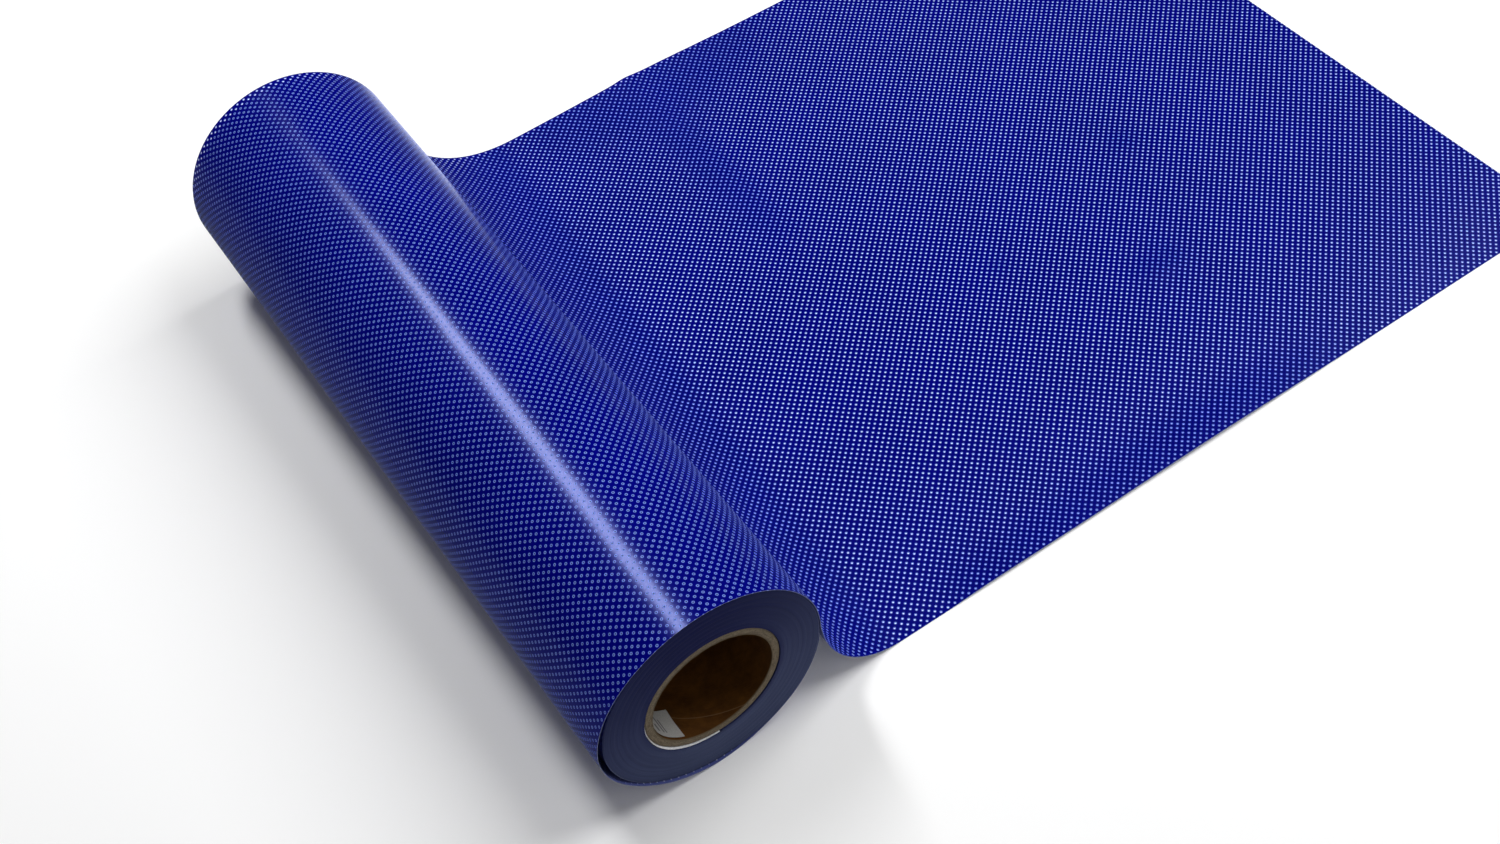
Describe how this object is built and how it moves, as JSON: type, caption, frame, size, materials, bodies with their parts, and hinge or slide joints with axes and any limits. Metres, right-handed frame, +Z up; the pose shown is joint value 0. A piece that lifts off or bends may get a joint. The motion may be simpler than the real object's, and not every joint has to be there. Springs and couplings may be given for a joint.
{
  "type": "roll of sign vinyl",
  "caption": "Roll of perforated blue sign film on a three-inch cardboard core, with one length pulled off the top and lying flat.",
  "frame": {"origin": "on the table, under the middle of the roll and its pulled-out film together", "axes": "+Y along the roll's axis, +X the way the film is pulled, +Z up"},
  "size_m": [0.7388, 0.524, 0.1434],
  "materials": {
    "chipboard": "rough grey-brown recycled board, cut end",
    "kraft": "smooth calendered brown paper",
    "label_paper": "matt coated paper",
    "strip_paper": "matt white paper",
    "film_edges": "stacked film edges, satin",
    "blue_film": "satin-gloss royal blue with a punched dot lattice"
  },
  "bodies": {
    "web": {"film_web": "blue_film"},
    "roll": {"film_pack": "film_edges", "core_tube": "chipboard", "core_liner": "kraft", "core_label": "label_paper", "starter_strip": "strip_paper"}
  },
  "joints": [
    {"name": "roll_turn", "type": "hinge", "parent": "web", "child": "roll", "pos_m": [-0.2956, 0, 0.0696], "axis": [0, 1, 0], "continuous": true}
  ]
}
